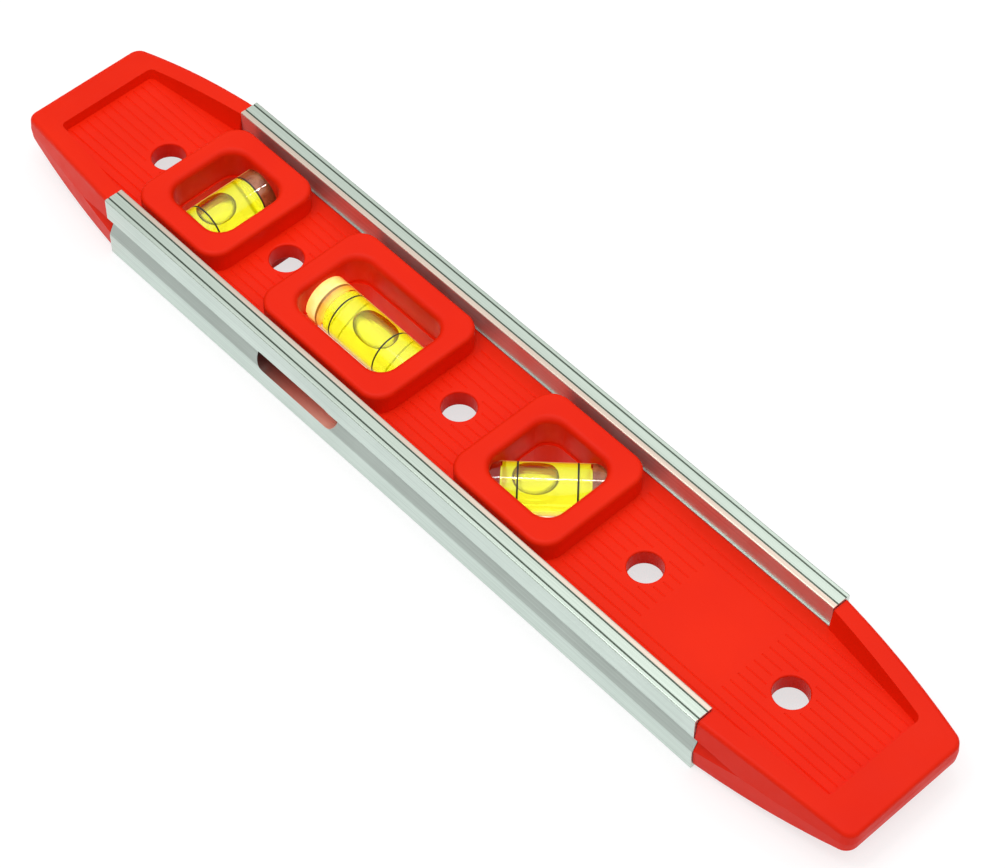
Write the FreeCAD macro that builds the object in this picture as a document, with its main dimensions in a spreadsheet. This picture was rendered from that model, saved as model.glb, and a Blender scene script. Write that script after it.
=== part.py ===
import FreeCAD, Part
import math
import os

import Sketcher

# Pocket spirit level, lying on its back as it rests on a table.
# X runs along the level, +Y points at the long measuring edge, +Z is up.
# The origin is the middle of the footprint, on the table.
# Lengths are millimetres and angles are degrees.

DIMENSIONS = {
    # Whole level
    "overall_length": 230.0,
    "shell_drop": 0.64,
    "web_thickness": 4.2,
    "web_end_overlap": 2.0,
    "web_corner_radius": 1.0,
    # How far a cut runs past what it cuts
    "overcut": 1.0,
    # Aluminium edge rails
    "rail_length": 164.3,
    "rail_spread": 39.3,
    "rail_height": 15.6,
    "rail_flange": 4.35,
    "rail_wall": 1.2,
    "rail_lip_wall": 1.1,
    "vee_opening": 5.0,
    "vee_depth": 1.25,
    "core_thickness": 2.95,
    "core_half_height": 3.3,
    "inner_line_offset": 1.28,
    "outer_line_offset": 3.38,
    "line_width": 0.36,
    "line_depth": 0.22,
    "foot_width": 0.3,
    "foot_thickness": 0.3,
    "rail_edge_radius": 0.3,
    "rail_end_gap": 0.1,
    "rail_grip_clearance": 0.05,
    "tongue_clearance": 0.25,
    # Reading window in the top edge rail
    "window_length": 23.2,
    "window_height": 5.5,
    "window_end_flat": 0.1,
    "light_path_inset": 2.2,
    "light_path_skin": 1.4,
    # Plastic ends
    "end_root_half_width": 19.55,
    "end_tip_half_width": 14.55,
    "end_side_radius": 330.0,
    "end_tip_half_height": 2.5,
    "end_top_radius": 172.0,
    "end_corner_radius": 2.6,
    "end_edge_radius": 0.9,
    "shell_draft": 3.5,
    "end_overlap": 3.0,
    # Recess in each plastic end
    "recess_border": 8.45,
    "recess_root_half_width": 14.6,
    "recess_tip_half_width": 11.35,
    "recess_draft": 9.5,
    "recess_corner_radius": 1.3,
    # Raised surrounds of the three vials
    "surround_half_height": 14.0,
    "surround_corner_radius": 4.7,
    "surround_edge_radius": 1.0,
    "level_centre": -25.7,
    "level_surround_length": 35.7,
    "level_aperture_length": 25.9,
    "plumb_centre": -68.5,
    "plumb_surround_length": 25.2,
    "plumb_aperture_length": 16.2,
    "diagonal_centre": 24.4,
    "diagonal_surround_length": 27.3,
    "diagonal_aperture_length": 17.7,
    "aperture_height": 17.5,
    "aperture_corner_radius": 3.9,
    "aperture_draft": 1.0,
    "aperture_lip_radius": 1.4,
    "aperture_ledge": 0.35,
    # Hanging holes
    "hole_radius": 3.5,
    "hole_rim_radius": 0.4,
    "inner_hole_pitch": 50.3,
    "outer_hole_pitch": 87.0,
    # Fine grooves on the recessed floor, and the bare patch among them
    "groove_pitch": 2.03,
    "groove_pairs": 6,
    "groove_width": 0.42,
    "groove_depth": 0.16,
    "groove_margin": 0.7,
    "patch_centre": 67.6,
    "patch_half_length": 10.2,
    "patch_half_height": 8.7,
    # Vials
    "tube_radius": 5.08,
    "bore_radius": 4.2,
    "tube_chamfer": 0.35,
    "seat_clearance": 0.05,
    "level_tube_length": 31.0,
    "level_chamber_plug_side": 8.8,
    "level_chamber_blind_side": 12.6,
    "level_ring_spacing": 12.7,
    "plumb_tube_length": 24.0,
    "plumb_chamber_plug_side": 5.9,
    "plumb_chamber_blind_side": 9.4,
    "plumb_ring_spacing": 11.3,
    "diagonal_tube_length": 24.0,
    "diagonal_chamber_plug_side": 8.3,
    "diagonal_chamber_blind_side": 8.9,
    "diagonal_ring_spacing": 11.3,
    "ring_width": 0.36,
    "ring_thickness": 0.14,
    "ring_clearance": 0.01,
    "bore_clearance": 0.03,
    # Bubbles and the free way above each of them
    "level_bubble_half_length": 5.2,
    "level_bubble_offset": -1.9,
    "plumb_bubble_half_length": 4.1,
    "plumb_bubble_offset": -2.7,
    "diagonal_bubble_half_length": 4.4,
    "diagonal_bubble_offset": -2.3,
    "bubble_half_width": 3.4,
    "bubble_half_height": 1.9,
    "bubble_sink": 1.0,
    "bubble_clearance": 0.12,
    "channel_end_wall": 0.5,
}

SHEET = "Sizes"

# Places closer than this count as the same place
TOUCH = 0.001


class Size:
    """A size with its number and its formula in the cells of the sheet."""

    def __init__(self, value, text=None):
        self.value = float(value)
        self.text = text if text is not None else repr(float(value))

    def joined(self, other, sign, value):
        return Size(value, "(" + self.text + " " + sign + " " + other.text + ")")

    def __add__(self, other):
        other = as_size(other)
        return self.joined(other, "+", self.value + other.value)

    def __sub__(self, other):
        other = as_size(other)
        return self.joined(other, "-", self.value - other.value)

    def __mul__(self, other):
        other = as_size(other)
        return self.joined(other, "*", self.value * other.value)

    def __truediv__(self, other):
        other = as_size(other)
        return self.joined(other, "/", self.value / other.value)

    def __neg__(self):
        return as_size(-1) * self


def as_size(value):
    return value if isinstance(value, Size) else Size(value)


class Sizes:
    """The driving dimensions, each readable as an attribute."""

    def __init__(self, doc):
        sheet = doc.addObject("Spreadsheet::Sheet", SHEET)
        for row, (name, value) in enumerate(DIMENSIONS.items(), start=1):
            sheet.set("A" + str(row), name)
            sheet.set("B" + str(row), str(value))
            sheet.setAlias("B" + str(row), name)
        doc.recompute()
        for name, value in DIMENSIONS.items():
            setattr(self, name, Size(value, SHEET + "." + name))


def bind(target, path, size):
    """Set a number on an object and tie it to its formula."""
    size = as_size(size)
    if "." not in path:
        setattr(target, path, size.value)
    target.setExpression(path, size.text)


def place(target, x, z, angle=0.0, axis=FreeCAD.Vector(0, 0, 1)):
    """Stand an object at x and z, turned by a fixed angle about an axis."""
    x = as_size(x)
    z = as_size(z)
    rotation = FreeCAD.Rotation(axis, angle)
    target.Placement = FreeCAD.Placement(FreeCAD.Vector(x.value, 0, z.value), rotation)
    target.setExpression("Placement.Base.x", x.text)
    target.setExpression("Placement.Base.z", z.text)


# Sketching

def new_body(doc, name):
    body = doc.addObject("PartDesign::Body", name)
    body.Label = name
    return body


def origin_plane(body, role):
    for feature in body.Origin.OriginFeatures:
        if feature.Role == role:
            return feature
    raise RuntimeError("no origin plane " + role)


def new_sketch(body, name, plane, offset=None):
    sketch = body.newObject("Sketcher::SketchObject", name)
    sketch.AttachmentSupport = [(origin_plane(body, plane), "")]
    sketch.MapMode = "FlatFace"
    if offset is not None:
        shift = FreeCAD.Vector(0, 0, offset.value)
        sketch.AttachmentOffset = FreeCAD.Placement(shift, FreeCAD.Rotation())
        sketch.setExpression("AttachmentOffset.Base.z", offset.text)
    return sketch


def constrain(sketch, size, *arguments):
    index = sketch.addConstraint(Sketcher.Constraint(*arguments, size.value))
    sketch.setExpression("Constraints[" + str(index) + "]", size.text)


def lock_point(sketch, geometry, position, x, y):
    """Tie one point of the sketch to its two coordinates."""
    if x.value == 0.0:
        sketch.addConstraint(Sketcher.Constraint("PointOnObject", geometry, position, -2))
    else:
        constrain(sketch, x, "DistanceX", geometry, position)
    if y.value == 0.0:
        sketch.addConstraint(Sketcher.Constraint("PointOnObject", geometry, position, -1))
    else:
        constrain(sketch, y, "DistanceY", geometry, position)


def arc_middle(start, end, radius):
    """The middle of an arc that bulges to the right of start to end, or left if negative."""
    chord = end - start
    half = chord.Length / 2
    rise = abs(radius) - math.sqrt(radius ** 2 - half ** 2)
    outward = FreeCAD.Vector(chord.y, -chord.x, 0).normalize()
    return (start + end) * 0.5 + outward * math.copysign(rise, radius)


def add_outline(sketch, points, arcs=None):
    """A closed outline through locked points; arcs maps a point's number to a radius."""
    arcs = arcs or {}
    points = [(as_size(x), as_size(y)) for x, y in points]
    vectors = [FreeCAD.Vector(x.value, y.value, 0) for x, y in points]
    ends = []
    for number, start in enumerate(vectors):
        end = vectors[(number + 1) % len(vectors)]
        if number in arcs:
            middle = arc_middle(start, end, arcs[number].value)
            anticlockwise = (middle - start).cross(end - middle).z > 0
            curve = Part.Arc(start, middle, end) if anticlockwise else Part.Arc(end, middle, start)
        else:
            curve = Part.LineSegment(start, end)
        geometry = sketch.addGeometry(curve, False)
        added = sketch.Geometry[geometry]
        forward = (added.StartPoint - start).Length < (added.EndPoint - start).Length
        ends.append((geometry, 1, 2) if forward else (geometry, 2, 1))
    for number, (geometry, first, last) in enumerate(ends):
        following = ends[(number + 1) % len(ends)]
        join = Sketcher.Constraint("Coincident", geometry, last, following[0], following[1])
        sketch.addConstraint(join)
        lock_point(sketch, geometry, first, *points[number])
        if number in arcs:
            radius = arcs[number]
            radius = radius if radius.value > 0 else -radius
            constrain(sketch, radius, "Radius", geometry)


def add_rounded_rectangle(sketch, centre, length, height, radius):
    """A rectangle with round corners, centred on the X axis at centre."""
    left = centre - length / 2
    right = centre + length / 2
    top = height / 2
    points = [
        (left + radius, -top), (right - radius, -top),
        (right, -top + radius), (right, top - radius),
        (right - radius, top), (left + radius, top),
        (left, top - radius), (left, -top + radius),
    ]
    arcs = {number: radius for number in (1, 3, 5, 7)}
    add_outline(sketch, points, arcs)


def add_circle(sketch, x, radius):
    """A circle with its centre on the X axis."""
    x = as_size(x)
    centre = FreeCAD.Vector(x.value, 0, 0)
    circle = Part.Circle(centre, FreeCAD.Vector(0, 0, 1), radius.value)
    geometry = sketch.addGeometry(circle, False)
    lock_point(sketch, geometry, 3, x, as_size(0))
    constrain(sketch, radius, "Radius", geometry)


def extrude(body, kind, name, sketch, length, middle=False, reverse=False, taper=None):
    """A pad or pocket of one sketch."""
    feature = body.newObject("PartDesign::" + kind, name)
    feature.Profile = sketch
    feature.Type = "Length"
    bind(feature, "Length", length)
    feature.Midplane = middle
    feature.Reversed = reverse
    if taper is not None:
        bind(feature, "TaperAngle", taper)
    body.Document.recompute()
    return feature


def pad(body, name, sketch, length, **options):
    return extrude(body, "Pad", name, sketch, length, **options)


def pocket(body, name, sketch, length, **options):
    """A pocket, which must take something away."""
    before = body.Shape.Volume
    feature = extrude(body, "Pocket", name, sketch, length, **options)
    if before - body.Shape.Volume < TOUCH:
        raise RuntimeError(name + " cuts nothing")
    return feature


def fillet(body, name, radius, wanted):
    """Round the edges of the body's last feature that the test picks."""
    base = body.Tip
    names = []
    for number, edge in enumerate(base.Shape.Edges, start=1):
        if wanted(edge):
            names.append("Edge" + str(number))
    if not names:
        raise RuntimeError("no edges for " + name)
    feature = body.newObject("PartDesign::Fillet", name)
    feature.Base = (base, names)
    bind(feature, "Radius", radius)
    body.Document.recompute()
    return feature


def edge_points(edge):
    """The start, middle and end of an edge."""
    first, last = edge.ParameterRange
    return [edge.valueAt(first), edge.valueAt((first + last) / 2), edge.valueAt(last)]


def revolve(body, name, points):
    """Turn an outline of (x, radius) points about the body's X axis."""
    sketch = new_sketch(body, name + "_section", "XZ_Plane")
    add_outline(sketch, points)
    feature = body.newObject("PartDesign::Revolution", name)
    feature.Profile = sketch
    feature.ReferenceAxis = (sketch, ["H_Axis"])
    feature.Angle = 360.0
    body.Document.recompute()
    return feature


# Sizes that several pieces share

def derive(s):
    """Work out the shared places and sizes from the driving dimensions."""
    s.middle = s.rail_height / 2
    s.rail_outer = s.rail_spread / 2
    s.rail_inner = s.rail_outer - s.rail_flange
    s.rail_half = s.rail_length / 2
    s.shell_half_height = s.middle - s.shell_drop
    s.floor = s.web_thickness / 2
    s.core_face = s.rail_outer - s.core_thickness
    s.tongue_half_width = s.core_face - s.tongue_clearance
    s.window_end_radius = s.window_height / 2 - s.window_end_flat
    s.tip = s.overall_length / 2
    s.recess_end = s.tip - s.recess_border
    s.groove_radius = s.tube_radius - s.ring_thickness
    s.fluid_radius = s.bore_radius - s.bore_clearance
    s.seat_radius = s.tube_radius + s.seat_clearance


class Vial:
    """The sizes and the place of one vial, in its own frame along X."""

    def __init__(self, s, name, angle):
        self.name = name
        self.angle = angle
        self.centre = getattr(s, name + "_centre")
        self.surround_length = getattr(s, name + "_surround_length")
        self.aperture_length = getattr(s, name + "_aperture_length")
        self.tube_length = getattr(s, name + "_tube_length")
        self.plug_face = getattr(s, name + "_chamber_plug_side")
        self.blind_face = -getattr(s, name + "_chamber_blind_side")
        self.ring_spacing = getattr(s, name + "_ring_spacing")
        self.bubble_half_length = getattr(s, name + "_bubble_half_length")
        self.bubble_offset = getattr(s, name + "_bubble_offset")


# Plastic shells

def end_outlines(s):
    """The plan of both plastic ends at the joint plane, root side to tip."""
    root = s.rail_half - s.end_overlap
    half_plan = [
        (root, -s.end_root_half_width),
        (s.rail_half, -s.end_root_half_width),
        (s.tip, -s.end_tip_half_width),
        (s.tip, s.end_tip_half_width),
        (s.rail_half, s.end_root_half_width),
        (root, s.end_root_half_width),
    ]
    right_arcs = {1: s.end_side_radius, 3: s.end_side_radius}
    left_plan = [(-x, y) for x, y in half_plan]
    left_arcs = {1: -s.end_side_radius, 3: -s.end_side_radius}
    return [(half_plan, right_arcs), (left_plan, left_arcs)]


def add_end_blocks(body, s):
    """Both ends as drafted blocks, then their curved wedge towards the tip."""
    sketch = new_sketch(body, "end_plan", "XY_Plane")
    for points, arcs in end_outlines(s):
        add_outline(sketch, points, arcs)
    pad(body, "end_blocks", sketch, s.shell_half_height, taper=-s.shell_draft)

    def tip_corner(edge):
        start, middle, end = edge_points(edge)
        upright = abs(start.z - end.z) > edge.Length / 2
        return upright and abs(middle.x) > s.tip.value - s.end_corner_radius.value

    fillet(body, "tip_corners", s.end_corner_radius, tip_corner)

    wedge = new_sketch(body, "end_wedge_profile", "XZ_Plane")
    beyond = s.tip + s.overcut
    above = s.shell_half_height + s.overcut
    right = [
        (s.rail_half, s.shell_half_height),
        (s.tip, s.end_tip_half_height),
        (beyond, s.end_tip_half_height),
        (beyond, above),
        (s.rail_half, above),
    ]
    add_outline(wedge, right, {0: -s.end_top_radius})
    left = [(-x, z) for x, z in right]
    add_outline(wedge, left, {0: s.end_top_radius})
    pocket(body, "end_wedge", wedge, s.rail_spread + s.overcut * 2, middle=True)


def add_recesses(body, s):
    """The recess of each end, at the level of the web, with drafted walls."""
    sketch = new_sketch(body, "recess_plan", "XY_Plane", offset=s.floor)
    for sign in (1, -1):
        points = [
            (s.rail_half - s.end_overlap, -s.recess_root_half_width),
            (s.rail_half, -s.recess_root_half_width),
            (s.recess_end, -s.recess_tip_half_width),
            (s.recess_end, s.recess_tip_half_width),
            (s.rail_half, s.recess_root_half_width),
            (s.rail_half - s.end_overlap, s.recess_root_half_width),
        ]
        add_outline(sketch, [(x * sign, y) for x, y in points])
    pocket(body, "recesses", sketch, s.shell_half_height, reverse=True, taper=s.recess_draft)

    def recess_corner(edge):
        start, middle, end = edge_points(edge)
        reach = s.recess_corner_radius.value
        at_end = abs(abs(middle.x) - s.recess_end.value) < reach
        inside = abs(middle.y) < s.recess_tip_half_width.value + reach
        upright = abs(start.z - end.z) > edge.Length / 2
        return at_end and inside and upright

    fillet(body, "recess_corners", s.recess_corner_radius, recess_corner)


def round_end_edges(body, s):
    """The rounded outer edge of the plastic ends, above their side walls."""
    raised_from = (s.end_tip_half_height.value + s.floor.value) / 2

    def outer_edge(edge):
        points = edge_points(edge)
        outside = all(abs(point.x) > s.rail_half.value - TOUCH for point in points)
        raised = all(point.z > raised_from for point in points)
        middle = points[1]
        along = (abs(middle.x) - s.rail_half.value) / (s.tip.value - s.rail_half.value)
        root = (s.end_root_half_width.value + s.recess_root_half_width.value) / 2
        tip = (s.end_tip_half_width.value + s.recess_tip_half_width.value) / 2
        border = root + (tip - root) * along
        past_recess = abs(middle.x) > (s.tip.value + s.recess_end.value) / 2
        shoulder = all(abs(abs(point.x) - s.rail_half.value) < TOUCH for point in points)
        return outside and raised and not shoulder and (past_recess or abs(middle.y) > border)

    fillet(body, "end_edges", s.end_edge_radius, outer_edge)


def clear_rails(body, s):
    """Cut the shell back to its web and tongues where the rails sit."""
    sketch = new_sketch(body, "rail_space", "YZ_Plane")
    wide = s.rail_spread
    below = -s.overcut
    above = s.shell_half_height + s.overcut
    tongue = s.tongue_half_width
    points = [
        (-wide, below), (-tongue, below), (-tongue, s.floor), (tongue, s.floor),
        (tongue, below), (wide, below), (wide, above), (-wide, above),
    ]
    add_outline(sketch, points)
    pocket(body, "rail_clearance", sketch, s.rail_length, middle=True)


def cut_side_vees(body, s):
    """The rails' groove carried on into the side walls of the ends."""
    sketch = new_sketch(body, "side_vee_profile", "YZ_Plane")
    apex = s.rail_outer - s.vee_depth
    reach = s.vee_opening
    outside = apex + s.vee_depth * 2
    add_outline(sketch, [(apex, 0), (outside, -reach), (outside, reach)])
    add_outline(sketch, [(-apex, 0), (-outside, reach), (-outside, -reach)])
    pocket(body, "side_vees", sketch, s.overall_length + s.overcut * 2, middle=True)


def add_surrounds(body, s, vials):
    """The raised rounded frames of the vials, with their edges eased."""
    sketch = new_sketch(body, "surround_plan", "XY_Plane")
    for vial in vials:
        add_rounded_rectangle(sketch, vial.centre, vial.surround_length,
                              s.surround_half_height * 2, s.surround_corner_radius)
    pad(body, "surrounds", sketch, s.shell_half_height)

    def top_edge(edge):
        points = edge_points(edge)
        level = all(abs(point.z - s.shell_half_height.value) < TOUCH for point in points)
        return level and all(abs(point.x) < s.rail_half.value - TOUCH for point in points)

    fillet(body, "surround_edges", s.surround_edge_radius, top_edge)


def cut_apertures(body, s, vials, ledge):
    """The windows through the surrounds, drafted and with a soft lip."""
    sketch = new_sketch(body, "aperture_plan", "XY_Plane")
    inset = ledge * 2
    for vial in vials:
        add_rounded_rectangle(sketch, vial.centre, vial.aperture_length - inset,
                              s.aperture_height - inset, s.aperture_corner_radius)
    pocket(body, "apertures", sketch, s.shell_half_height, reverse=True,
           taper=s.aperture_draft)

    between = (s.aperture_height.value / 2 + s.surround_half_height.value) / 2

    def lip_edge(edge):
        points = edge_points(edge)
        level = all(abs(point.z - s.shell_half_height.value) < TOUCH for point in points)
        within = all(abs(point.y) < between for point in points)
        middle = points[1]
        near = any(abs(middle.x - vial.centre.value)
                   < (vial.aperture_length + vial.surround_length).value / 4 for vial in vials)
        return level and within and near

    fillet(body, "aperture_lips", s.aperture_lip_radius, lip_edge)


def hole_places(s):
    return [-s.outer_hole_pitch, -s.inner_hole_pitch, as_size(0),
            s.inner_hole_pitch, s.outer_hole_pitch]


def cut_holes(body, s):
    """The five hanging holes, with an eased rim."""
    sketch = new_sketch(body, "hole_plan", "XY_Plane")
    for place_x in hole_places(s):
        add_circle(sketch, place_x, s.hole_radius)
    pocket(body, "holes", sketch, s.floor * 2, middle=True)

    def rim(edge):
        points = edge_points(edge)
        at_floor = all(abs(point.z - s.floor.value) < TOUCH for point in points)
        circle = isinstance(edge.Curve, Part.Circle)
        return circle and at_floor and abs(edge.Curve.Radius - s.hole_radius.value) < TOUCH

    fillet(body, "hole_rims", s.hole_rim_radius, rim)


def shell_body(doc, s, name, vials, ledge):
    """One shell half, from the joint plane up."""
    body = new_body(doc, name)
    web = new_sketch(body, "web_plan", "XY_Plane")
    add_rounded_rectangle(web, as_size(0), s.rail_length + s.web_end_overlap * 2,
                          s.tongue_half_width * 2, s.web_corner_radius)
    pad(body, "web", web, s.floor)
    add_end_blocks(body, s)
    clear_rails(body, s)
    add_recesses(body, s)
    round_end_edges(body, s)
    cut_side_vees(body, s)
    add_surrounds(body, s, vials)
    cut_apertures(body, s, vials, ledge)
    cut_holes(body, s)
    return body


def covered_spans(s, vials, y):
    """The stretches of X on the floor where a groove at y is left out."""
    margin = s.groove_margin.value
    spans = []
    if abs(y) < s.surround_half_height.value:
        for vial in vials:
            half = vial.surround_length.value / 2 + margin
            spans.append((vial.centre.value - half, vial.centre.value + half))
    if abs(y) < s.patch_half_height.value:
        half = s.patch_half_length.value
        spans.append((s.patch_centre.value - half, s.patch_centre.value + half))
    pad_radius = s.hole_radius.value + s.hole_rim_radius.value + margin
    if abs(y) < pad_radius:
        half = math.sqrt(pad_radius ** 2 - y ** 2)
        for hole in hole_places(s):
            spans.append((hole.value - half, hole.value + half))
    return sorted(spans)


def groove_end(s, y):
    """How far from the middle a groove at y runs before it meets the recess wall."""
    margin = s.groove_margin.value
    slope = (s.recess_root_half_width - s.recess_tip_half_width).value
    slope = slope / (s.recess_end - s.rail_half).value
    room = s.recess_root_half_width.value - margin / 2 - abs(y)
    meets = s.rail_half.value + room / slope
    return min(meets, s.recess_end.value - margin)


def groove_runs(s, vials):
    """Every straight piece of groove as (y, start, end)."""
    pairs = int(s.groove_pairs.value)
    shortest = s.groove_width.value * 2
    for number in range(-pairs, pairs + 1):
        y = number * s.groove_pitch.value
        end = groove_end(s, y)
        start = -end
        for left, right in covered_spans(s, vials, y):
            if left - start > shortest:
                yield y, start, left
            start = max(start, right)
        if end - start > shortest:
            yield y, start, end


def groove_cutters(doc, s, name, vials):
    """All the fine grooves of one floor as narrow prisms."""
    floor = s.floor.value
    half = s.groove_width.value / 2
    above = floor + s.groove_depth.value
    prisms = []
    for y, start, end in groove_runs(s, vials):
        outline = Part.makePolygon([
            FreeCAD.Vector(start, y - half, floor),
            FreeCAD.Vector(start, y, floor - s.groove_depth.value),
            FreeCAD.Vector(start, y + half, floor),
            FreeCAD.Vector(start, y + half, above),
            FreeCAD.Vector(start, y - half, above),
            FreeCAD.Vector(start, y - half, floor),
        ])
        prisms.append(Part.Face(outline).extrude(FreeCAD.Vector(end - start, 0, 0)))
    feature = doc.addObject("Part::Feature", name)
    feature.Shape = Part.makeCompound(prisms)
    return feature


def seat_cutter(doc, s, name, vial):
    """The round seat of one tube, on the joint plane."""
    seat = doc.addObject("Part::Cylinder", name)
    length = vial.tube_length + s.seat_clearance * 2
    bind(seat, "Radius", s.seat_radius)
    bind(seat, "Height", length)
    turn = FreeCAD.Rotation(FreeCAD.Vector(0, 0, 1), vial.angle)
    lie = FreeCAD.Rotation(FreeCAD.Vector(0, 1, 0), 90)
    along = turn.multVec(FreeCAD.Vector(1, 0, 0))
    start = FreeCAD.Vector(vial.centre.value, 0, s.middle.value) - along * (length.value / 2)
    seat.Placement = FreeCAD.Placement(start, turn * lie)
    seat.setExpression("Placement.Base.x", (vial.centre - length * (along.x / 2)).text)
    seat.setExpression("Placement.Base.y", (length * (-along.y / 2)).text)
    seat.setExpression("Placement.Base.z", s.middle.text)
    return seat


def light_path_cutter(doc, s, name, vial):
    """The light path from the rail's window to the level vial."""
    box = doc.addObject("Part::Box", name)
    depth = s.tongue_half_width + s.overcut
    length = s.window_length - s.light_path_inset * 2
    height = s.web_thickness - s.light_path_skin * 2
    bind(box, "Length", length)
    bind(box, "Width", depth)
    bind(box, "Height", height)
    base = (vial.centre - length / 2, -depth, s.middle - height / 2)
    box.Placement.Base = FreeCAD.Vector(*[size.value for size in base])
    for axis, size in zip("xyz", base):
        box.setExpression("Placement.Base." + axis, size.text)
    return box


def finish_shell(doc, s, body, name, vials, flipped):
    """Cut the seats, the light path and the grooves, and stand the half in place."""
    axis = FreeCAD.Vector(1, 0, 0)
    angle = 180.0 if flipped else 0.0
    place(body, 0, s.middle, angle, axis)
    grooves = groove_cutters(doc, s, name + "_grooves", vials)
    place(grooves, 0, s.middle, angle, axis)
    tools = [grooves, light_path_cutter(doc, s, name + "_light_path", vials[0])]
    for vial in vials:
        tools.append(seat_cutter(doc, s, name + "_" + vial.name + "_seat", vial))
    cutters = doc.addObject("Part::MultiFuse", name + "_cutters")
    cutters.Shapes = tools
    shell = doc.addObject("Part::Cut", name)
    shell.Base = body
    shell.Tool = cutters
    shell.Label = name
    return shell


# Aluminium rails

def rail_section(s):
    """The rail's outline, with its slot towards the web, on the +Y side."""
    inner = s.rail_inner
    outer = s.rail_outer
    top = s.middle
    grip = s.floor + s.rail_grip_clearance
    foot = inner - s.foot_width
    foot_top = grip + s.foot_thickness
    line_half = s.line_width / 2
    line_floor = top - s.line_depth
    lip = inner + s.rail_lip_wall
    cavity_top = top - s.rail_wall
    cavity_wall = outer - s.rail_wall
    core = s.core_face
    core_top = s.core_half_height
    upper = [(foot, grip), (foot, foot_top), (inner, foot_top), (inner, top)]
    for offset in (s.inner_line_offset, s.outer_line_offset):
        line = inner + offset
        upper += [(line - line_half, top), (line, line_floor), (line + line_half, top)]
    upper += [(outer, top), (outer, s.vee_opening / 2)]
    upper_cavity = [
        (core, core_top), (cavity_wall, core_top), (cavity_wall, cavity_top),
        (lip, cavity_top), (lip, grip),
    ]
    lower = [(y, -z) for y, z in reversed(upper)]
    lower_cavity = [(y, -z) for y, z in reversed(upper_cavity)]
    apex = (outer - s.vee_depth, as_size(0))
    return upper + [apex] + lower + lower_cavity + upper_cavity


def edge_rail(doc, s, name, window_vial=None):
    """One extruded rail; the one above the level vial has a reading window."""
    body = new_body(doc, name)
    sketch = new_sketch(body, "rail_profile", "YZ_Plane")
    add_outline(sketch, rail_section(s))
    pad(body, "extrusion", sketch, s.rail_length - s.rail_end_gap * 2, middle=True)

    def outer_edge(edge):
        points = edge_points(edge)
        long_edge = abs(points[0].x - points[2].x) > s.rail_length.value / 2
        middle = points[1]
        at_top = abs(abs(middle.z) - s.middle.value) < TOUCH
        sides = (s.rail_outer.value, s.rail_inner.value)
        at_side = any(abs(middle.y - side) < TOUCH for side in sides)
        return long_edge and at_top and at_side

    fillet(body, "rail_edges", s.rail_edge_radius, outer_edge)
    if window_vial is None:
        place(body, 0, s.middle)
        return body
    window = new_sketch(body, "window_outline", "XZ_Plane", offset=-s.rail_outer - s.overcut)
    add_rounded_rectangle(window, -window_vial.centre, s.window_length,
                          s.window_height, s.window_end_radius)
    depth = s.core_thickness + s.overcut + s.tongue_clearance
    pocket(body, "window", window, depth, reverse=True)
    place(body, 0, s.middle, 180.0)
    return body


# Vials

def vial_tube(doc, s, vial):
    """The clear tube, closed at one end, with two shallow ring grooves."""
    body = new_body(doc, vial.name + "_vial_tube")
    half = vial.tube_length / 2
    chamfer = s.tube_chamfer
    outer = s.tube_radius
    points = [(-half, as_size(0)), (-half, outer - chamfer), (-half + chamfer, outer)]
    for side in (-1, 1):
        ring = vial.ring_spacing / 2 * side
        start = ring - s.ring_width / 2
        end = ring + s.ring_width / 2
        points += [(start, outer), (start, s.groove_radius), (end, s.groove_radius), (end, outer)]
    points += [
        (half - chamfer, outer), (half, outer - chamfer), (half, s.bore_radius),
        (vial.blind_face, s.bore_radius), (vial.blind_face, as_size(0)),
    ]
    revolve(body, "tube", points)
    return body


def vial_plug(doc, s, vial):
    """The plug that seals the open end of the tube."""
    body = new_body(doc, vial.name + "_vial_plug")
    half = vial.tube_length / 2
    outer = s.fluid_radius
    points = [(vial.plug_face, as_size(0)), (vial.plug_face, outer),
              (half, outer), (half, as_size(0))]
    revolve(body, "plug", points)
    return body


def bubble_floor(s):
    """How deep below the vial's axis line the bubble's underside lies."""
    return s.bore_radius - s.bubble_sink - s.bubble_half_height


def vial_fluid(doc, s, vial):
    """The liquid, with the free way in which the bubble travels."""
    body = new_body(doc, vial.name + "_vial_fluid")
    start = vial.blind_face + s.bore_clearance
    end = vial.plug_face - s.bore_clearance
    points = [(start, as_size(0)), (start, s.fluid_radius), (end, s.fluid_radius), (end, as_size(0))]
    revolve(body, "fluid", points)
    way = new_sketch(body, "bubble_way", "XZ_Plane")
    way_floor = bubble_floor(s) - s.bubble_clearance
    way_start = start + s.channel_end_wall
    way_end = end - s.channel_end_wall
    above = s.bore_radius + s.overcut
    add_outline(way, [(way_start, way_floor), (way_end, way_floor),
                      (way_end, above), (way_start, above)])
    pocket(body, "bubble_way_cut", way, (s.bubble_half_width + s.bubble_clearance) * 2,
           middle=True)
    return body


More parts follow.
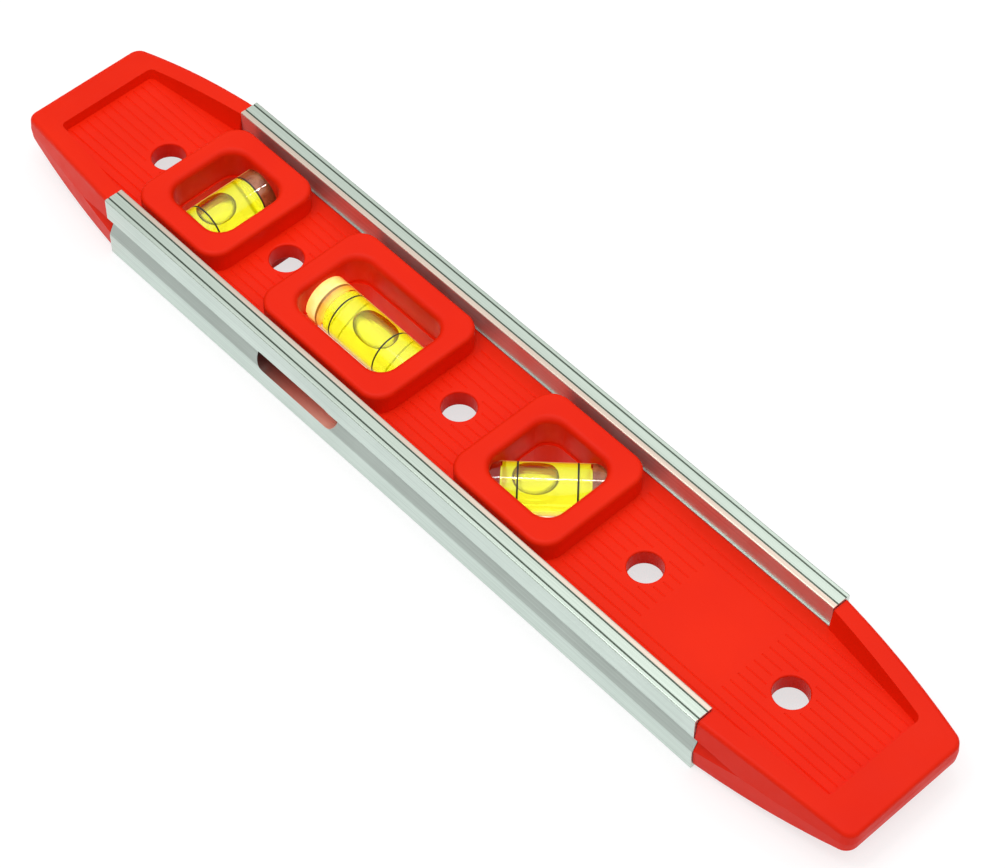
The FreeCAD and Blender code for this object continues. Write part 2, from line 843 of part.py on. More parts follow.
def vial_bubble(doc, s, vial):
    """The bubble against the upper side of the bore, where it rests."""
    name = vial.name + "_vial_bubble"
    drop = doc.addObject("Part::Ellipsoid", name + "_drop")
    bind(drop, "Radius1", s.bubble_half_height)
    bind(drop, "Radius2", vial.bubble_half_length)
    bind(drop, "Radius3", s.bubble_half_width)
    height = s.bore_radius - s.bubble_sink
    drop.Placement.Base = FreeCAD.Vector(vial.bubble_offset.value, 0, height.value)
    drop.setExpression("Placement.Base.x", vial.bubble_offset.text)
    drop.setExpression("Placement.Base.z", height.text)
    bore = doc.addObject("Part::Cylinder", name + "_limit")
    bind(bore, "Radius", s.bore_radius - s.bubble_clearance)
    bind(bore, "Height", vial.tube_length)
    lie = FreeCAD.Rotation(FreeCAD.Vector(0, 1, 0), 90)
    start = -vial.tube_length / 2
    bore.Placement = FreeCAD.Placement(FreeCAD.Vector(start.value, 0, 0), lie)
    bore.setExpression("Placement.Base.x", start.text)
    bubble = doc.addObject("Part::Common", name)
    bubble.Base = drop
    bubble.Tool = bore
    bubble.Label = name
    return bubble


def vial_ring(doc, s, vial, name, side):
    """One marker ring, flush in its groove."""
    body = new_body(doc, name)
    centre = vial.ring_spacing / 2 * side
    start = centre - s.ring_width / 2 + s.ring_clearance
    end = centre + s.ring_width / 2 - s.ring_clearance
    inner = s.groove_radius + s.ring_clearance
    points = [(start, inner), (start, s.tube_radius), (end, s.tube_radius), (end, inner)]
    revolve(body, "ring", points)
    return body


def make_vial(doc, s, vial):
    """Every piece of one vial, stood at its place in the level."""
    pieces = [
        vial_tube(doc, s, vial),
        vial_plug(doc, s, vial),
        vial_fluid(doc, s, vial),
        vial_bubble(doc, s, vial),
        vial_ring(doc, s, vial, vial.name + "_marker_ring_blind_side", -1),
        vial_ring(doc, s, vial, vial.name + "_marker_ring_plug_side", 1),
    ]
    for piece in pieces:
        place(piece, vial.centre, s.middle, vial.angle)
    return pieces


def check(doc, nodes):
    """Stop if any object failed or any piece is empty or broken."""
    for item in doc.Objects:
        bad = [word for word in item.State if word in ("Invalid", "Error")]
        if bad:
            raise RuntimeError(item.Name + " is " + ", ".join(bad))
    for node in nodes:
        if node.Shape.isNull() or not node.Shape.isValid():
            raise RuntimeError(node.Label + " has no valid shape")


def main():
    doc = FreeCAD.newDocument("spirit_level")
    s = Sizes(doc)
    derive(s)
    level = Vial(s, "level", 180.0)
    plumb = Vial(s, "plumb", 90.0)
    diagonal = Vial(s, "diagonal", 45.0)
    vials = [level, plumb, diagonal]

    nodes = []
    front_body = shell_body(doc, s, "front_shell_moulding", vials, as_size(0))
    nodes.append(finish_shell(doc, s, front_body, "front_shell", vials, False))
    back_body = shell_body(doc, s, "back_shell_moulding", vials, s.aperture_ledge)
    nodes.append(finish_shell(doc, s, back_body, "back_shell", vials, True))
    nodes.append(edge_rail(doc, s, "top_edge_rail", level))
    nodes.append(edge_rail(doc, s, "measuring_edge_rail"))
    for vial in vials:
        nodes += make_vial(doc, s, vial)

    doc.recompute()
    check(doc, nodes)
    os.makedirs("parts", exist_ok=True)
    for node in nodes:
        node.Shape.exportStep(os.path.join("parts", node.Label + ".step"))
        print(node.Label, len(node.Shape.Solids), round(node.Shape.Volume, 2))


main()
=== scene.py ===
import math

import bpy
from mathutils import Euler, Matrix, Vector


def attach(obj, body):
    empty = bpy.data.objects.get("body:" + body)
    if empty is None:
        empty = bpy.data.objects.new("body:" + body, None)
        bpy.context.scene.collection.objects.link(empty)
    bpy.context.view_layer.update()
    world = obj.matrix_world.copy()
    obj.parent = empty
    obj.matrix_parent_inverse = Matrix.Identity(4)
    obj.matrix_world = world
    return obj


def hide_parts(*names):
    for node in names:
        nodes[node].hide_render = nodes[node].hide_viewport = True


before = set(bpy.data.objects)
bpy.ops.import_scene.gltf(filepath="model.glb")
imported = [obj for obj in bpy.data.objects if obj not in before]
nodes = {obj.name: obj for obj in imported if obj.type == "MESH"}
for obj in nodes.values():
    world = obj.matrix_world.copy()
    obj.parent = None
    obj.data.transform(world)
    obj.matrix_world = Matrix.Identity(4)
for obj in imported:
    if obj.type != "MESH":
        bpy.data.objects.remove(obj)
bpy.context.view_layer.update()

MM = 0.001

# The camera, solved from the corners of the rails
CAMERA_PLACE = (0.25892, -0.23444, 0.46037)
CAMERA_TURN = (0.650325, -0.007031, 0.820545)
CAMERA_LENS = 107.70
SENSOR_WIDTH = 36.0

# The dome's light near the horizon and straight above, and how high it starts to brighten
DOME_HORIZON = 0.03
DOME_TOP = 1.35
DOME_START = 0.15

# The table: its size, how far under the level it lies, and how far and how brightly it shows
# itself to the camera, in metal and in glass
TABLE_SIZE = 6.0
TABLE_DROP = 0.00005
TABLE_SHARE = 0.6
TABLE_STRENGTH = 1.15

# The softboxes: place and width in metres, and power in watts
LAMPS = {
    "overhead": ((-0.22, -0.30, 1.0), 0.40, 1.7),
    "streak": ((-0.066, 0.090, 0.97), 0.09, 0.5),
    "glint": ((0.24, 0.411, 0.88), 0.020, 0.20),
}

# The vials: middle along the level, turn about Z in degrees, both ends of the liquid, middle and
# half length of the bubble, end of the tube, all in mm from the vial's middle, and the side on
# which the bubble's painted shade is darkest, 1 for the left and -1 for the right of the tube's
# own axis
VIALS = {
    "level": {"middle": -25.7, "turn": 180.0, "liquid": (-12.6, 8.8), "bubble": (-1.9, 5.2),
              "tube_end": 15.5, "dark_side": -1},
    "plumb": {"middle": -68.5, "turn": 90.0, "liquid": (-9.4, 5.9), "bubble": (-2.7, 4.1),
              "tube_end": 12.0, "dark_side": 1},
    "diagonal": {"middle": 24.4, "turn": 45.0, "liquid": (-8.9, 8.3), "bubble": (-2.3, 4.4),
                 "tube_end": 12.0, "dark_side": 1},
}
# In mm as well: the height of the vials' middles, and the liquid's radius and rounded ends
MIDDLE_HEIGHT = 7.8
LIQUID_RADIUS = 4.215
LIQUID_END_ROUNDING = 0.5
# The liquid is cloudy, with a painted glow, below the first height and clear above the second,
# from the middle
LIQUID_CLEARING = (-1.6, 0.6)
# The plugs: the gap to the liquid, how far they stay back in the tube, the rim and depth of the
# dish, and their rounded edges
PLUG_GAP = 0.02
PLUG_SETBACK = 0.05
PLUG_RIM = 0.7
PLUG_DISH = 0.4
PLUG_ROUNDING = 0.15
# The level vial's plug, along X in mm: its joint, the joint's reach, and where the neck's painted
# shade gives way to its plain amber
PLUG_JOINT = -36.25
PLUG_JOINT_REACH = (0.15, 0.40)
PLUG_NECK = (-36.1, -34.7)
# The bubbles: the radius in the bore that they stay within, half their width and height, how high
# they lie above the vial's middle, and half the width that the rim's shading goes by
BUBBLE_LIMIT = 4.06
BUBBLE_HALF_WIDTH = 3.4
BUBBLE_HALF_HEIGHT = 1.9
BUBBLE_AXIS_HEIGHT = 3.2
BUBBLE_SEEN_HALF_WIDTH = 3.1
# Where the bubble's dark rim of painted shade starts at its two ends, as a share of its reach,
# how much sooner it starts on the dark side, how soon it is whole, and how much of it shows
BUBBLE_RIM = (0.92, 0.80)
BUBBLE_DARK_RIM = 0.22
BUBBLE_RIM_WIDTH = 0.18
BUBBLE_RIM_SHARE = 0.78

# The rails, in mm. Each pair is where one tone ends and where the next has taken over.
# Distance from the middle plane: the two lines of a flange, which are darkened as painted shade,
# the inner land, which gets a painted reflection of the red, and the side face
INNER_LINE = 16.58
OUTER_LINE = 18.68
LINE_REACH = (0.12, 0.22)
INNER_LAND = (INNER_LINE - 0.2, INNER_LINE - 0.15)
SIDE_REACH = (19.56, 19.64)
# Height from the vials' middle: the flanges, and the V, which gets painted shade
FLANGE_RISE = (7.50, 7.56)
VEE_RISE = (2.44, 2.50)
# The reading window: middle, half its straight length, the flat and rounding of its ends, how
# its painted shade and painted reflection of the red go from dark to pale along X, and how much
# of them shows
WINDOW_MIDDLE = -25.7
WINDOW_STRAIGHT = 8.95
WINDOW_END_FLAT = 0.1
WINDOW_END_RADIUS = (2.66, 2.71)
WINDOW_DARK = (-37.0, -27.0)
WINDOW_PALE = (-27.0, -17.0)
WINDOW_PAINTED_LIGHT_SHARE = 0.85


# Selecting and finishing, as by hand

def deselect_all():
    bpy.ops.object.select_all(action="DESELECT")


def make_active(piece):
    deselect_all()
    piece.select_set(True)
    bpy.context.view_layer.objects.active = piece


def settle(piece):
    """Put the piece's place, turn and size into its mesh."""
    make_active(piece)
    bpy.ops.object.transform_apply(location=True, rotation=True, scale=True)
    deselect_all()


def smooth(piece, degrees=35.0):
    make_active(piece)
    bpy.ops.object.shade_smooth_by_angle(angle=math.radians(degrees))
    deselect_all()


def select_where(piece, wanted, kind="VERT"):
    """In edit mode, select the vertices or faces that the test picks."""
    bpy.ops.mesh.select_mode(type=kind)
    bpy.ops.mesh.select_all(action="DESELECT")
    bpy.ops.object.mode_set(mode="OBJECT")
    parts = piece.data.vertices if kind == "VERT" else piece.data.polygons
    for part in parts:
        part.select = wanted(part)
    bpy.ops.object.mode_set(mode="EDIT")


# Materials

class Recipe:
    """A material's node tree, with short ways to add to it."""

    def __init__(self, name):
        self.material = bpy.data.materials.new(name)
        self.material.use_nodes = True
        self.tree = self.material.node_tree
        self.shader = self.tree.nodes["Principled BSDF"]
        self.output = self.tree.nodes["Material Output"]
        self.surface = self.shader.outputs["BSDF"]

    def add(self, kind, **settings):
        node = self.tree.nodes.new("ShaderNode" + kind)
        for name, value in settings.items():
            setattr(node, name, value)
        return node

    def link(self, start, end):
        self.tree.links.new(start, end)

    def set(self, **values):
        """Set the shader's own sockets, named with underscores for spaces."""
        for name, value in values.items():
            self.shader.inputs[name.replace("_", " ")].default_value = value

    def place(self, scale=(1, 1, 1)):
        """Object coordinates, stretched."""
        coordinates = self.add("TexCoord")
        mapping = self.add("Mapping")
        mapping.inputs["Scale"].default_value = scale
        self.link(coordinates.outputs["Object"], mapping.inputs["Vector"])
        return mapping.outputs["Vector"]

    def noise(self, where, scale, detail=2.0, roughness=0.5):
        texture = self.add("TexNoise")
        texture.inputs["Scale"].default_value = scale
        texture.inputs["Detail"].default_value = detail
        texture.inputs["Roughness"].default_value = roughness
        self.link(where, texture.inputs["Vector"])
        return texture.outputs["Fac"]

    def spread(self, value, low, high, start=0.3, end=0.7):
        """Bring a value from one range to another."""
        remap = self.add("MapRange")
        remap.inputs["From Min"].default_value = start
        remap.inputs["From Max"].default_value = end
        remap.inputs["To Min"].default_value = low
        remap.inputs["To Max"].default_value = high
        self.link(value, remap.inputs["Value"])
        return remap.outputs["Result"]

    def between(self, value, first, second):
        """A mix of two colours, each a socket or plain numbers."""
        mix = self.add("Mix", data_type="RGBA")
        for name, colour in (("A", first), ("B", second)):
            if isinstance(colour, tuple):
                mix.inputs[name].default_value = (*colour, 1)
            else:
                self.link(colour, mix.inputs[name])
        self.link(value, mix.inputs["Factor"])
        return mix.outputs["Result"]

    def bump(self, height, strength, distance, under=None):
        node = self.add("Bump")
        node.inputs["Strength"].default_value = strength
        node.inputs["Distance"].default_value = distance
        self.link(height, node.inputs["Height"])
        if under is not None:
            self.link(under, node.inputs["Normal"])
        return node.outputs["Normal"]

    def join(self, result, socket):
        self.link(result, self.shader.inputs[socket])

    def reach(self, direction):
        """How far a point lies one way from the origin, in metres."""
        along = self.add("VectorMath", operation="DOT_PRODUCT")
        along.inputs[1].default_value = direction
        self.link(self.place(), along.inputs[0])
        return along.outputs["Value"]

    def distance(self, value, middle):
        """How far a value is from a middle, either way."""
        return self.work("ABSOLUTE", self.work("SUBTRACT", value, middle))

    def length(self, first, second):
        """The long side of a right angle between two values."""
        squares = self.work("ADD", self.work("MULTIPLY", first, first),
                            self.work("MULTIPLY", second, second))
        return self.work("SQRT", squares)

    def within(self, value, ends):
        """1 up to the first end, 0 beyond the second; both in mm."""
        return self.spread(value, 1, 0, ends[0] * MM, ends[1] * MM)

    def beyond(self, value, ends):
        """0 up to the first end, 1 beyond the second; both in mm."""
        return self.spread(value, 0, 1, ends[0] * MM, ends[1] * MM)

    def work(self, operation, *values):
        """Arithmetic on values, each a socket or a number."""
        node = self.add("Math", operation=operation)
        for place, value in enumerate(values):
            if isinstance(value, (int, float)):
                node.inputs[place].default_value = value
            else:
                self.link(value, node.inputs[place])
        return node.outputs["Value"]

    def cover(self, share, colour):
        """Lay a matt colour over the surface, by a share."""
        matt = self.add("BsdfDiffuse")
        self.link(colour, matt.inputs["Color"])
        mix = self.add("MixShader")
        self.link(share, mix.inputs["Fac"])
        self.link(self.surface, mix.inputs[1])
        self.link(matt.outputs["BSDF"], mix.inputs[2])
        self.surface = mix.outputs["Shader"]

    def let_lamps_through(self, tint):
        """Lamps light what stands behind this clear surface."""
        path = self.add("LightPath")
        clear = self.add("BsdfTransparent")
        clear.inputs["Color"].default_value = (*tint, 1)
        mix = self.add("MixShader")
        self.link(path.outputs["Is Shadow Ray"], mix.inputs["Fac"])
        self.link(self.surface, mix.inputs[1])
        self.link(clear.outputs["BSDF"], mix.inputs[2])
        self.link(mix.outputs["Shader"], self.output.inputs["Surface"])


def red_moulding():
    """Satin red plastic with a fine moulded grain."""
    recipe = Recipe("red_moulding")
    recipe.set(IOR=1.5, Specular_IOR_Level=0.12)
    here = recipe.place()
    mottle = recipe.noise(here, 45.0, detail=3.0)
    recipe.join(recipe.between(recipe.spread(mottle, 0, 1), (0.83, 0.015, 0.001),
                               (0.89, 0.021, 0.002)), "Base Color")
    cloud = recipe.noise(here, 180.0, detail=4.0)
    recipe.join(recipe.spread(cloud, 0.38, 0.50), "Roughness")
    grain = recipe.noise(here, 3200.0, detail=2.0)
    ripple = recipe.noise(here, 260.0, detail=1.0)
    under = recipe.bump(ripple, 0.12, 0.0004)
    recipe.join(recipe.bump(grain, 0.22, 0.00006, under), "Normal")
    return recipe.material


def drawn_aluminium(name, windowed):
    """Matt aluminium with the fine lines of an extrusion along X, painted shade in its two flange
    lines, in the V and, where windowed, in the reading window, and a painted reflection of the
    red body on the inner lands and in the window.
    """
    recipe = Recipe(name)
    recipe.set(Metallic=1.0, Anisotropic=0.8, Anisotropic_Rotation=0.25)
    run = recipe.add("CombineXYZ")
    run.inputs["X"].default_value = 1.0
    recipe.join(run.outputs["Vector"], "Tangent")
    drawn = recipe.place((14.0, 3600.0, 3600.0))
    lines = recipe.noise(drawn, 1.0, detail=3.0, roughness=0.6)
    grade = recipe.spread(lines, 0, 1)
    along = recipe.reach((1, 0, 0))
    across = recipe.work("ABSOLUTE", recipe.reach((0, 1, 0)))
    rise = recipe.distance(recipe.reach((0, 0, 1)), MIDDLE_HEIGHT * MM)

    on_flange = recipe.beyond(rise, FLANGE_RISE)
    tone = recipe.between(on_flange,
                          recipe.between(grade, (0.60, 0.69, 0.64), (0.73, 0.835, 0.77)),
                          recipe.between(grade, (0.55, 0.64, 0.56), (0.675, 0.765, 0.68)))
    # The V is darker: painted shade under the flange
    vee_painted_shade = recipe.work("MULTIPLY", recipe.within(rise, VEE_RISE),
                         recipe.within(across, SIDE_REACH))
    tone = recipe.between(vee_painted_shade, tone,
                          recipe.between(grade, (0.51, 0.575, 0.53), (0.60, 0.675, 0.625)))
    # The inner lands get a peach tone: a painted reflection of the red body
    inner_land_painted_reflection = recipe.work("MULTIPLY", on_flange, recipe.within(across, INNER_LAND))
    tone = recipe.between(inner_land_painted_reflection, tone,
                          recipe.between(grade, (0.72, 0.59, 0.49), (0.84, 0.70, 0.59)))
    # The flange's two lines are darkened: painted shade at the steps of the band
    for line in (INNER_LINE, OUTER_LINE):
        line_painted_shade = recipe.work("MULTIPLY", on_flange,
                              recipe.within(recipe.distance(across, line * MM), LINE_REACH))
        tone = recipe.between(line_painted_shade, tone, (0.20, 0.24, 0.20))
    recipe.join(tone, "Base Color")
    cloud = recipe.noise(recipe.place(), 90.0, detail=3.0)
    recipe.join(recipe.spread(cloud, 0.33, 0.43), "Roughness")
    recipe.join(recipe.bump(lines, 0.25, 0.00003), "Normal")
    if windowed:
        past_straight = recipe.work("SUBTRACT", recipe.distance(along, WINDOW_MIDDLE * MM),
                                    WINDOW_STRAIGHT * MM)
        past_flat = recipe.work("SUBTRACT", rise, WINDOW_END_FLAT * MM)
        in_window = recipe.within(recipe.length(recipe.work("MAXIMUM", past_straight, 0),
                                                recipe.work("MAXIMUM", past_flat, 0)),
                                  WINDOW_END_RADIUS)
        # The window's cut faces go from dark to pale red along X: painted shade, and a painted
        # reflection of the red inside
        window_painted_light = recipe.between(recipe.beyond(along, WINDOW_DARK),
                               (0.05, 0.015, 0.012),
                               recipe.between(recipe.beyond(along, WINDOW_PALE),
                                              (0.60, 0.17, 0.12), (0.90, 0.42, 0.31)))
        recipe.cover(recipe.work("MULTIPLY", in_window, WINDOW_PAINTED_LIGHT_SHARE), window_painted_light)
        recipe.link(recipe.surface, recipe.output.inputs["Surface"])
    return recipe.material


def clear_tube():
    """Clear acrylic, warmer where its wall is seen edge on, where the red round it is painted in
    as a reflection.
    """
    recipe = Recipe("clear_tube")
    recipe.set(Roughness=0.0, IOR=1.49, Transmission_Weight=1.0)
    edge = recipe.add("LayerWeight")
    edge.inputs["Blend"].default_value = 0.5
    # The warm tint at the edges belongs to the painted reflection of the red round the tube
    recipe.join(recipe.between(recipe.spread(edge.outputs["Facing"], 0, 1, 0.40, 0.78),
                               (0.99, 0.99, 0.95), (0.95, 0.42, 0.12)), "Base Color")
    swirl = recipe.noise(recipe.place(), 500.0, detail=1.0)
    recipe.join(recipe.bump(swirl, 0.04, 0.0001), "Normal")
    # The matt orange rim is a painted reflection of the red round the tube
    rim = recipe.spread(edge.outputs["Facing"], 0, 0.75, 0.72, 0.90)
    recipe.cover(rim, recipe.between(recipe.spread(swirl, 0, 1), (0.98, 0.50, 0.14),
                                     (1.0, 0.62, 0.22)))
    recipe.let_lamps_through((0.95, 0.96, 0.92))
    return recipe.material


def yellow_liquid():
    """Bright yellow dyed liquid: clear near its upper side, and cloudier below, with a painted
    glow there.
    """
    recipe = Recipe("yellow_liquid")
    recipe.set(Base_Color=(0.99, 0.98, 0.07, 1), Roughness=0.0, IOR=1.36,
               Emission_Color=(0.75, 0.86, 0.0, 1))
    height = recipe.reach((0, 0, 1))
    lowest, highest = ((MIDDLE_HEIGHT + step) * MM for step in LIQUID_CLEARING)
    recipe.join(recipe.spread(height, 0.55, 1.0, lowest, highest), "Transmission Weight")
    # The glow below is painted light
    recipe.join(recipe.spread(height, 0.22, 0.0, lowest, highest), "Emission Strength")
    recipe.let_lamps_through((0.97, 0.96, 0.15))
    return recipe.material


def clear_plug():
    """Clear acrylic plug, with the red round it painted in as brown."""
    recipe = Recipe("clear_plug")
    recipe.set(Roughness=0.05, IOR=1.49, Transmission_Weight=0.6)
    swirl = recipe.noise(recipe.place(), 420.0, detail=2.0)
    # The brown paints in the red round the plug, seen through it, in shade: painted light
    recipe.join(recipe.between(recipe.spread(swirl, 0, 1), (0.42, 0.11, 0.04),
                               (0.85, 0.36, 0.16)), "Base Color")
    recipe.let_lamps_through((0.98, 0.93, 0.85))
    return recipe.material


def cream_plug():
    """Acrylic plug with a painted glow, as of light from the end, with a dark joint between its
    cream head and amber neck, and painted shade on the neck next to the joint.
    """
    recipe = Recipe("cream_plug")
    # The plug glows a little, though it is no lamp: painted light
    recipe.set(Roughness=0.05, IOR=1.49, Transmission_Weight=0.35, Emission_Strength=0.5)
    along = recipe.reach((1, 0, 0))
    swirl = recipe.noise(recipe.place(), 420.0, detail=2.0)
    # The cream head stands in for the yellow light through the plug: painted light
    head = recipe.between(recipe.spread(swirl, 0, 1), (1.0, 0.80, 0.24), (1.0, 0.90, 0.45))
    # The neck is darker brown next to the joint: painted shade
    neck = recipe.between(recipe.beyond(along, PLUG_NECK),
                          recipe.between(recipe.spread(swirl, 0, 1), (0.40, 0.14, 0.03),
                                         (0.88, 0.45, 0.12)),
                          (0.92, 0.56, 0.05))
    joint = (0.16, 0.07, 0.01)
    toned = recipe.between(recipe.beyond(along, (PLUG_JOINT - 0.1, PLUG_JOINT)), head, neck)
    on_joint = recipe.within(recipe.distance(along, PLUG_JOINT * MM), PLUG_JOINT_REACH)
    tone = recipe.between(on_joint, toned, joint)
    recipe.join(tone, "Base Color")
    recipe.join(tone, "Emission Color")
    recipe.let_lamps_through((0.98, 0.93, 0.70))
    return recipe.material


def air_bubble(name, vial):
    """Air in the liquid: light bends the other way, and the rim has painted shade, darkest on one
    side, where the red round it is painted in as brown.
    """
    recipe = Recipe(name)
    recipe.set(Base_Color=(1.0, 0.99, 0.85, 1), Roughness=0.0, IOR=0.735,
               Transmission_Weight=1.0)
    turn = math.radians(vial["turn"])
    ahead = Vector((math.cos(turn), math.sin(turn), 0.0))
    sideways = Vector((-math.sin(turn), math.cos(turn), 0.0)) * vial["dark_side"]
    middle, half_length = vial["bubble"]
    ahead_middle = (vial["middle"] * ahead.x + middle) * MM
    side_middle = vial["middle"] * sideways.x * MM
    along = recipe.work("DIVIDE", recipe.work("SUBTRACT", recipe.reach(ahead), ahead_middle),
                        half_length * MM)
    dark = recipe.work("DIVIDE", recipe.work("SUBTRACT", recipe.reach(sideways), side_middle),
                       BUBBLE_SEEN_HALF_WIDTH * MM)
    start = recipe.work("SUBTRACT", recipe.spread(along, *BUBBLE_RIM, -0.5, 0.7),
                        recipe.spread(dark, 0, BUBBLE_DARK_RIM, 0.1, 0.8))
    climb = recipe.work("SUBTRACT", recipe.length(along, dark), start)
    share = recipe.spread(climb, 0, BUBBLE_RIM_SHARE, 0, BUBBLE_RIM_WIDTH)
    # The rim's olive is painted shade, and the brown on the dark side a painted reflection of the
    # red round the bubble
    recipe.cover(share, recipe.between(recipe.spread(dark, 0, 1, 0.1, 0.7),
                                       (0.20, 0.19, 0.006), (0.42, 0.12, 0.02)))
    recipe.let_lamps_through((1.0, 0.99, 0.9))
    return recipe.material


def black_ring():
    """Black ring, slightly worn."""
    recipe = Recipe("black_ring")
    recipe.set(Roughness=0.5)
    speckle = recipe.noise(recipe.place(), 2400.0)
    recipe.join(recipe.between(recipe.spread(speckle, 0, 1), (0.006, 0.006, 0.006),
                               (0.02, 0.02, 0.018)), "Base Color")
    return recipe.material


# The vials' insides

def vial_place(vial):
    """From the vial's own frame to the level."""
    turn = Matrix.Rotation(math.radians(vial["turn"]), 4, "Z")
    return Matrix.Translation((vial["middle"] * MM, 0, MIDDLE_HEIGHT * MM)) @ turn


def make_liquid(name, vial, material):
    """The liquid fills the bore and is rounded where it meets the closed ends."""
    start, end = vial["liquid"]
    bpy.ops.mesh.primitive_cylinder_add(
        vertices=128, radius=LIQUID_RADIUS * MM, depth=(end - start) * MM,
        location=((start + end) / 2 * MM, 0, 0), rotation=(0, math.radians(90), 0))
    piece = bpy.context.object
    piece.name = name + "_liquid"
    settle(piece)
    make_active(piece)
    bpy.ops.object.mode_set(mode="EDIT")
    select_where(piece, lambda face: abs(face.normal.x) > 0.9, "FACE")
    bpy.ops.mesh.bevel(offset=LIQUID_END_ROUNDING * MM, segments=6, affect="EDGES")
    bpy.ops.object.mode_set(mode="OBJECT")
    piece.data.transform(vial_place(vial))
    smooth(piece)
    piece.data.materials.append(material)
    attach(piece, "level_frame")
    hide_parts(name + "_vial_fluid")
    return piece


def make_plug(name, vial, material):
    """The plug closes the bore behind the liquid, with a shallow dish in its inner face."""
    start, end = vial["liquid"][1], vial["tube_end"]
    start += PLUG_GAP
    end -= PLUG_SETBACK
    bpy.ops.mesh.primitive_cylinder_add(
        vertices=128, radius=LIQUID_RADIUS * MM, depth=(end - start) * MM,
        location=((start + end) / 2 * MM, 0, 0), rotation=(0, math.radians(90), 0))
    piece = bpy.context.object
    piece.name = name + "_plug"
    settle(piece)
    make_active(piece)
    bpy.ops.object.mode_set(mode="EDIT")
    select_where(piece, lambda face: face.normal.x < -0.9, "FACE")
    bpy.ops.mesh.inset(thickness=PLUG_RIM * MM)
    bpy.ops.transform.translate(value=(PLUG_DISH * MM, 0, 0))
    select_where(piece, lambda face: abs(face.normal.x) > 0.9, "FACE")
    bpy.ops.mesh.bevel(offset=PLUG_ROUNDING * MM, segments=3, affect="EDGES")
    bpy.ops.object.mode_set(mode="OBJECT")
    piece.data.transform(vial_place(vial))
    smooth(piece)
    piece.data.materials.append(material)
    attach(piece, "level_frame")
    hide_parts(name + "_vial_plug")
    return piece


def make_bubble(name, vial, material):
    """The bubble is a long drop, pressed against the upper side of the bore."""
    middle, half_length = vial["bubble"]
    bpy.ops.mesh.primitive_uv_sphere_add(segments=96, ring_count=64, radius=1.0)
    piece = bpy.context.object
    piece.name = name + "_bubble_air"
    piece.rotation_euler = (0, math.radians(90), 0)
    piece.scale = (BUBBLE_HALF_HEIGHT * MM, BUBBLE_HALF_WIDTH * MM, half_length * MM)
    piece.location = (middle * MM, 0, BUBBLE_AXIS_HEIGHT * MM)
    settle(piece)
    limit = BUBBLE_LIMIT * MM
    for vertex in piece.data.vertices:
        radius = math.hypot(vertex.co.y, vertex.co.z)
        if radius > limit:
            vertex.co.y *= limit / radius
            vertex.co.z *= limit / radius
    piece.data.transform(vial_place(vial))
    smooth(piece, 60.0)
    piece.data.materials.append(material)
    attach(piece, name + "_bubble")
    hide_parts(name + "_vial_bubble")
    return piece


def dress(node, material):
    """Give a solid of the level its finish."""
    mesh = nodes[node].data
    mesh.materials.clear()
    mesh.materials.append(material)
    for face in mesh.polygons:
        face.material_index = 0


# Studio

def make_floor():
    """The white table, which keeps the level's shadow."""
    bpy.ops.mesh.primitive_plane_add(size=TABLE_SIZE, location=(0, 0, -TABLE_DROP))
    floor = bpy.context.object
    floor.name = "table"
    recipe = Recipe("white_table")
    recipe.set(Base_Color=(0.92, 0.91, 0.91, 1), Roughness=0.9)
    path = recipe.add("LightPath")
    seen = recipe.work("MAXIMUM", path.outputs["Is Camera Ray"], path.outputs["Is Glossy Ray"])
    seen = recipe.work("MAXIMUM", seen, path.outputs["Is Transmission Ray"])
    glow = recipe.add("Emission")
    glow.inputs["Color"].default_value = (1, 1, 1, 1)
    glow.inputs["Strength"].default_value = TABLE_STRENGTH
    mix = recipe.add("MixShader")
    recipe.link(recipe.work("MULTIPLY", seen, TABLE_SHARE), mix.inputs["Fac"])
    recipe.link(recipe.surface, mix.inputs[1])
    recipe.link(glow.outputs["Emission"], mix.inputs[2])
    recipe.link(mix.outputs["Shader"], recipe.output.inputs["Surface"])
    floor.data.materials.append(recipe.material)


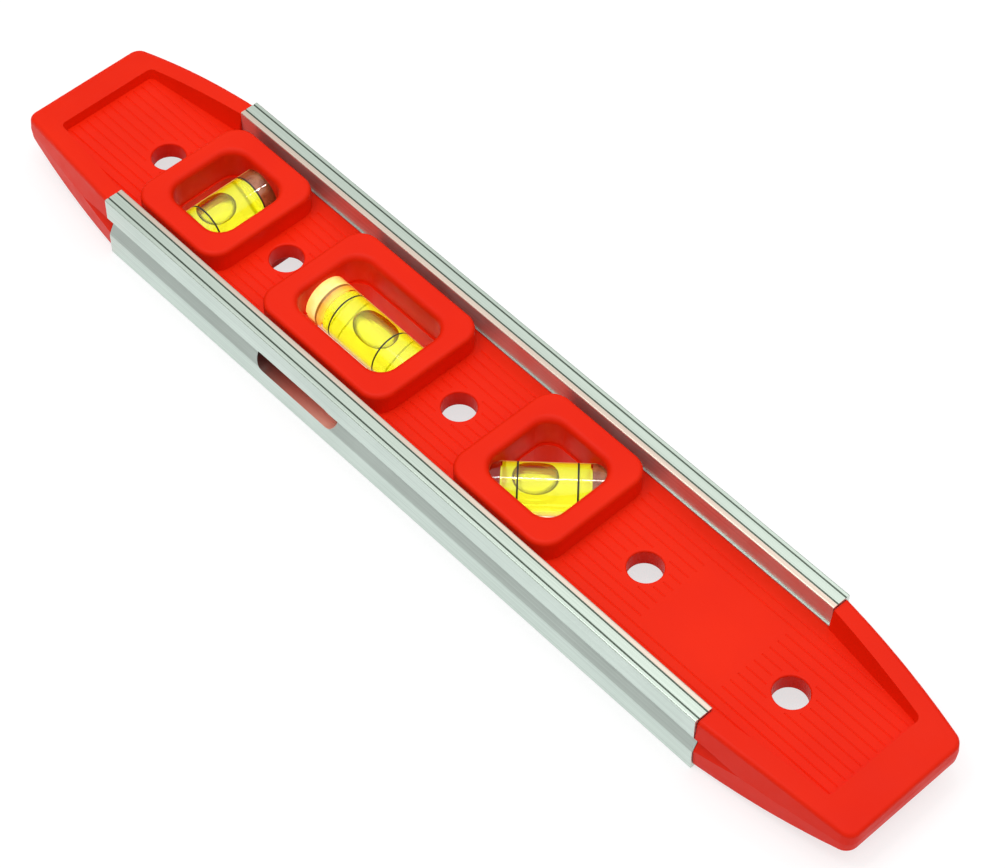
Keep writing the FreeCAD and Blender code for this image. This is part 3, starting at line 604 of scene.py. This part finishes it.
def make_world():
    """A soft white dome, brightest overhead."""
    world = bpy.data.worlds.new("studio")
    bpy.context.scene.world = world
    world.use_nodes = True
    tree = world.node_tree
    background = tree.nodes["Background"]
    background.inputs["Color"].default_value = (1, 1, 1, 1)
    direction = tree.nodes.new("ShaderNodeTexCoord")
    height = tree.nodes.new("ShaderNodeSeparateXYZ")
    tree.links.new(direction.outputs["Generated"], height.inputs["Vector"])
    dome = tree.nodes.new("ShaderNodeMapRange")
    dome.inputs["From Min"].default_value = DOME_START
    dome.inputs["To Min"].default_value = DOME_HORIZON
    dome.inputs["To Max"].default_value = DOME_TOP
    tree.links.new(height.outputs["Z"], dome.inputs["Value"])
    tree.links.new(dome.outputs["Result"], background.inputs["Strength"])
    path = tree.nodes.new("ShaderNodeLightPath")
    white = tree.nodes.new("ShaderNodeBackground")
    white.inputs["Color"].default_value = (1, 1, 1, 1)
    white.inputs["Strength"].default_value = 1.0
    mix = tree.nodes.new("ShaderNodeMixShader")
    tree.links.new(path.outputs["Is Camera Ray"], mix.inputs["Fac"])
    tree.links.new(background.outputs["Background"], mix.inputs[1])
    tree.links.new(white.outputs["Background"], mix.inputs[2])
    tree.links.new(mix.outputs["Shader"], tree.nodes["World Output"].inputs["Surface"])


def add_lamp(name, place, size, power):
    """A square softbox that points at the level."""
    light = bpy.data.lights.new(name, "AREA")
    light.shape = "SQUARE"
    light.size = size
    light.energy = power
    lamp = bpy.data.objects.new(name, light)
    bpy.context.scene.collection.objects.link(lamp)
    lamp.location = place
    lamp.rotation_euler = (-Vector(place)).to_track_quat("-Z", "Y").to_euler()


def make_camera():
    data = bpy.data.cameras.new("camera")
    data.lens = CAMERA_LENS
    data.sensor_width = SENSOR_WIDTH
    data.clip_start = 0.01
    data.clip_end = 10.0
    camera = bpy.data.objects.new("camera", data)
    camera.location = CAMERA_PLACE
    camera.rotation_euler = Euler(CAMERA_TURN)
    bpy.context.scene.collection.objects.link(camera)
    bpy.context.scene.camera = camera


make_camera()
make_world()
make_floor()
for lamp_name, (place, size, power) in LAMPS.items():
    add_lamp(lamp_name, place, size, power)

deselect_all()
red = red_moulding()
tube = clear_tube()
plug = clear_plug()
cream = cream_plug()
liquid = yellow_liquid()
ring = black_ring()
for shell in ("front_shell", "back_shell"):
    dress(shell, red)
dress("top_edge_rail", drawn_aluminium("windowed_aluminium", True))
dress("measuring_edge_rail", drawn_aluminium("plain_aluminium", False))
for vial_name, vial in VIALS.items():
    dress(vial_name + "_vial_tube", tube)
    dress(vial_name + "_marker_ring_blind_side", ring)
    dress(vial_name + "_marker_ring_plug_side", ring)
    make_liquid(vial_name, vial, liquid)
    make_plug(vial_name, vial, cream if vial_name == "level" else plug)
    make_bubble(vial_name, vial, air_bubble(vial_name + "_air", vial))

bpy.context.scene.view_settings.view_transform = "Standard"
